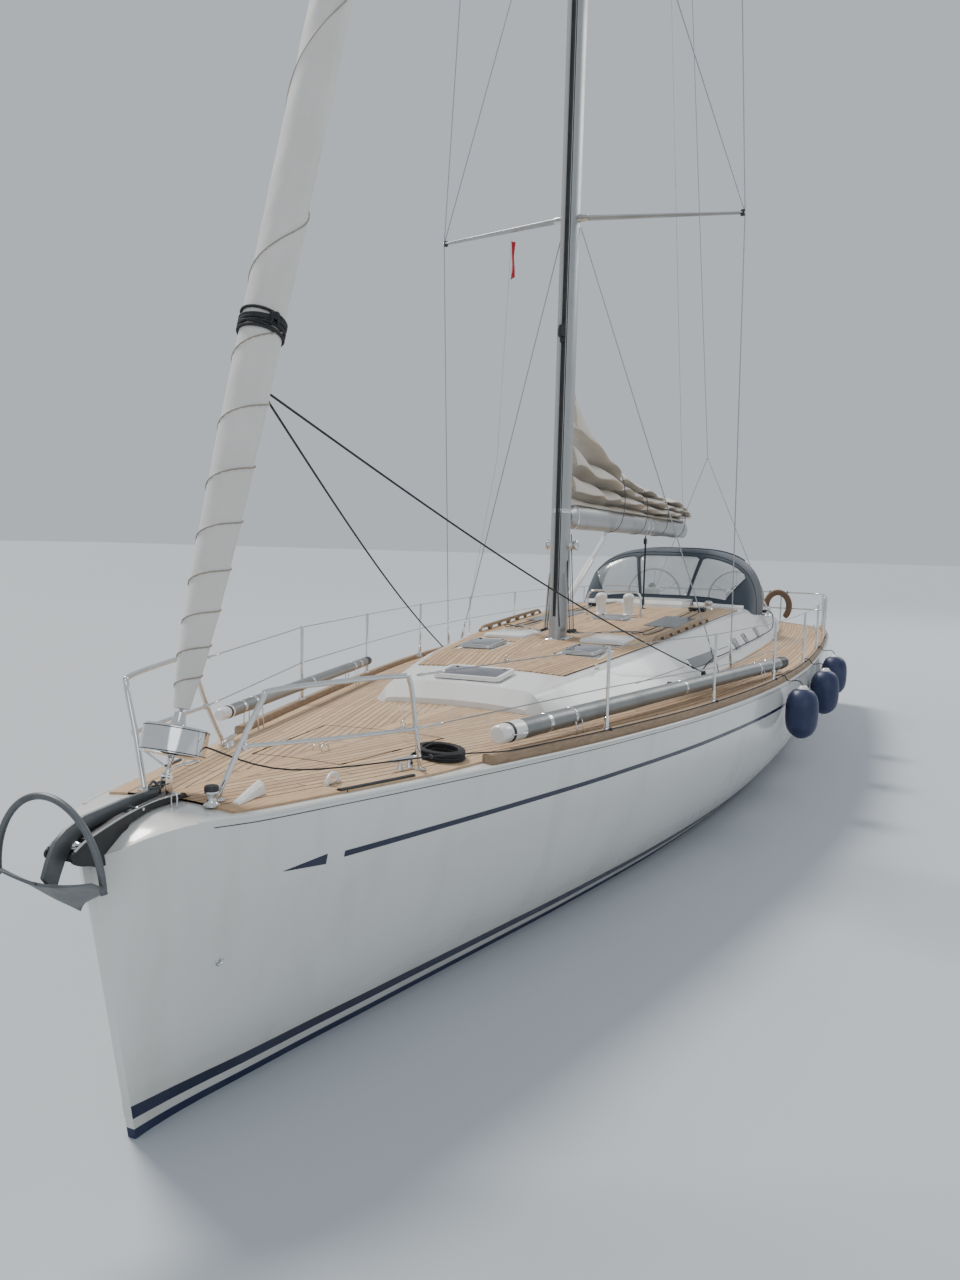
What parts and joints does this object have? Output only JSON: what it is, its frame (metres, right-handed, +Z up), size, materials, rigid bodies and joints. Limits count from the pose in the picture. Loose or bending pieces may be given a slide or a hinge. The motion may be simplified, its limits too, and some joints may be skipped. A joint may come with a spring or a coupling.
{
  "type": "sailing yacht",
  "caption": "Cruising sloop afloat: fin keel, spade rudder, teak decks, low coachroof, wheel steering, sprayhood, furled headsail and a mainsail dropped on its boom.",
  "frame": {"origin": "amidships on the centreline, on the waterline that the boat floats at", "axes": "+X towards the bow, +Y to port, +Z up"},
  "size_m": [16.03, 4.867, 22.63],
  "materials": {
    "gelcoat": "polished off-white gelcoat",
    "navy_paint": "gloss navy stripe",
    "antifouling": "matte dark blue antifouling",
    "cast_iron": "coated casting",
    "teak": "bare planks with dark caulking",
    "steel": "polished stainless steel",
    "spar": "anodised",
    "wire": "stranded stainless wire",
    "sailcloth": "woven sailcloth",
    "canvas": "slate blue acrylic canvas",
    "acrylic": "smoked acrylic",
    "black_fitting": "black coated fitting",
    "galvanized": "galvanized",
    "bronze": "bronze casting",
    "fender_vinyl": "soft vinyl"
  },
  "bodies": {
    "boat": {"hull_topsides": "gelcoat", "hull_underbody": "antifouling", "boot_stripe": "navy_paint", "cove_stripe_port": "navy_paint", "cove_stripe_starboard": "navy_paint", "keel_fin": "cast_iron", "keel_bulb": "cast_iron", "saildrive": "antifouling", "coachroof": "gelcoat", "coachroof_teak": "teak", "deck_teak": "teak", "coaming_port": "gelcoat", "coaming_starboard": "gelcoat", "hatch_garage": "gelcoat", "rail_port": "teak", "rail_starboard": "teak", "pulpit_port": "steel", "pulpit_starboard": "steel", "pushpit": "steel", "bow_roller": "black_fitting", "anchor": "galvanized", "bow_bollard": "steel", "pedestal_port": "gelcoat", "pedestal_starboard": "gelcoat", "sprayhood": "canvas", "cabin_window_port": "acrylic", "cabin_window_starboard": "acrylic", "mast": "spar", "spreaders_lower": "spar", "spreaders_middle": "spar", "spreaders_upper": "spar", "shrouds_port": "wire", "shrouds_starboard": "wire", "backstay": "wire", "forestay": "wire", "spinnaker_pole_port": "spar", "spinnaker_pole_starboard": "spar", "fender_1": "fender_vinyl", "fender_2": "fender_vinyl", "fender_3": "fender_vinyl"},
    "rudder": {"rudder": "antifouling"},
    "propeller": {"propeller": "bronze"},
    "wheel_port": {"wheel_port": "steel"},
    "wheel_starboard": {"wheel_starboard": "steel"},
    "boom": {"boom": "spar", "mainsail_flaked": "sailcloth", "vang": "spar"},
    "furler": {"furler_drum": "steel", "genoa_furled": "sailcloth"},
    "forehatch_lid": {"forehatch_lid": "acrylic"},
    "hatch_lid_port": {"hatch_lid_port": "acrylic"},
    "hatch_lid_starboard": {"hatch_lid_starboard": "acrylic"},
    "galley_hatch_lid": {"galley_hatch_lid": "acrylic"},
    "anchor_locker_lid": {"anchor_locker_lid": "teak"},
    "seat_lid_port": {"seat_lid_port": "teak"},
    "seat_lid_starboard": {"seat_lid_starboard": "teak"},
    "companionway_slide": {"companionway_slide": "acrylic"},
    "companionway_door": {"companionway_door": "acrylic"}
  },
  "joints": [
    {"name": "wheel_port", "type": "hinge", "parent": "boat", "child": "wheel_port", "pos_m": [-5.9, 0.7, 1.88], "axis": [1, 0, 0], "range_deg": [-450, 450]},
    {"name": "wheel_starboard", "type": "hinge", "parent": "boat", "child": "wheel_starboard", "pos_m": [-5.9, -0.7, 1.88], "axis": [1, 0, 0], "range_deg": [-450, 450]},
    {"name": "rudder", "type": "hinge", "parent": "boat", "child": "rudder", "pos_m": [-6.6, 0, 0], "axis": [0, 0, 1], "range_deg": [-35, 35]},
    {"name": "propeller", "type": "hinge", "parent": "boat", "child": "propeller", "pos_m": [-3.15, 0, -0.92], "axis": [1, 0, 0], "continuous": true},
    {"name": "boom", "type": "hinge", "parent": "boat", "child": "boom", "pos_m": [1.41, 0, 2.99], "axis": [0, 0, 1], "range_deg": [-60, 60]},
    {"name": "furler", "type": "hinge", "parent": "boat", "child": "furler", "pos_m": [7.385, 0, 1.59], "axis": [-0.32, 0, 0.9474], "continuous": true},
    {"name": "forehatch_lid", "type": "hinge", "parent": "boat", "child": "forehatch_lid", "pos_m": [3.9893, 0, 1.6368], "axis": [0, 1, 0], "range_deg": [0, 85]},
    {"name": "hatch_lid_port", "type": "hinge", "parent": "boat", "child": "hatch_lid_port", "pos_m": [2.6097, 0.5, 1.7306], "axis": [0, 1, 0], "range_deg": [0, 85]},
    {"name": "hatch_lid_starboard", "type": "hinge", "parent": "boat", "child": "hatch_lid_starboard", "pos_m": [2.6097, -0.5, 1.7306], "axis": [0, 1, 0], "range_deg": [0, 85]},
    {"name": "galley_hatch_lid", "type": "hinge", "parent": "boat", "child": "galley_hatch_lid", "pos_m": [-0.2401, 0, 1.8377], "axis": [0, 1, 0], "range_deg": [0, 85]},
    {"name": "anchor_locker_lid", "type": "hinge", "parent": "boat", "child": "anchor_locker_lid", "pos_m": [5.328, 0, 1.468], "axis": [0, -1, 0], "range_deg": [0, 85]},
    {"name": "seat_lid_port", "type": "hinge", "parent": "boat", "child": "seat_lid_port", "pos_m": [-4.705, 1.08, 1.296], "axis": [-1, 0, 0], "range_deg": [0, 85]},
    {"name": "seat_lid_starboard", "type": "hinge", "parent": "boat", "child": "seat_lid_starboard", "pos_m": [-4.705, -1.08, 1.296], "axis": [1, 0, 0], "range_deg": [0, 85]},
    {"name": "companionway_slide", "type": "slide", "parent": "boat", "child": "companionway_slide", "axis": [1, 0, 0], "range_m": [0, 0.62]},
    {"name": "companionway_door", "type": "hinge", "parent": "boat", "child": "companionway_door", "pos_m": [-3.969, 0.315, 1.4], "axis": [0, 0, -1], "range_deg": [0, 95]}
  ],
  "couplings": [
    {"joint": "wheel_starboard", "follows": "wheel_port", "ratio": 1},
    {"joint": "rudder", "follows": "wheel_port", "ratio": 0.077778}
  ]
}
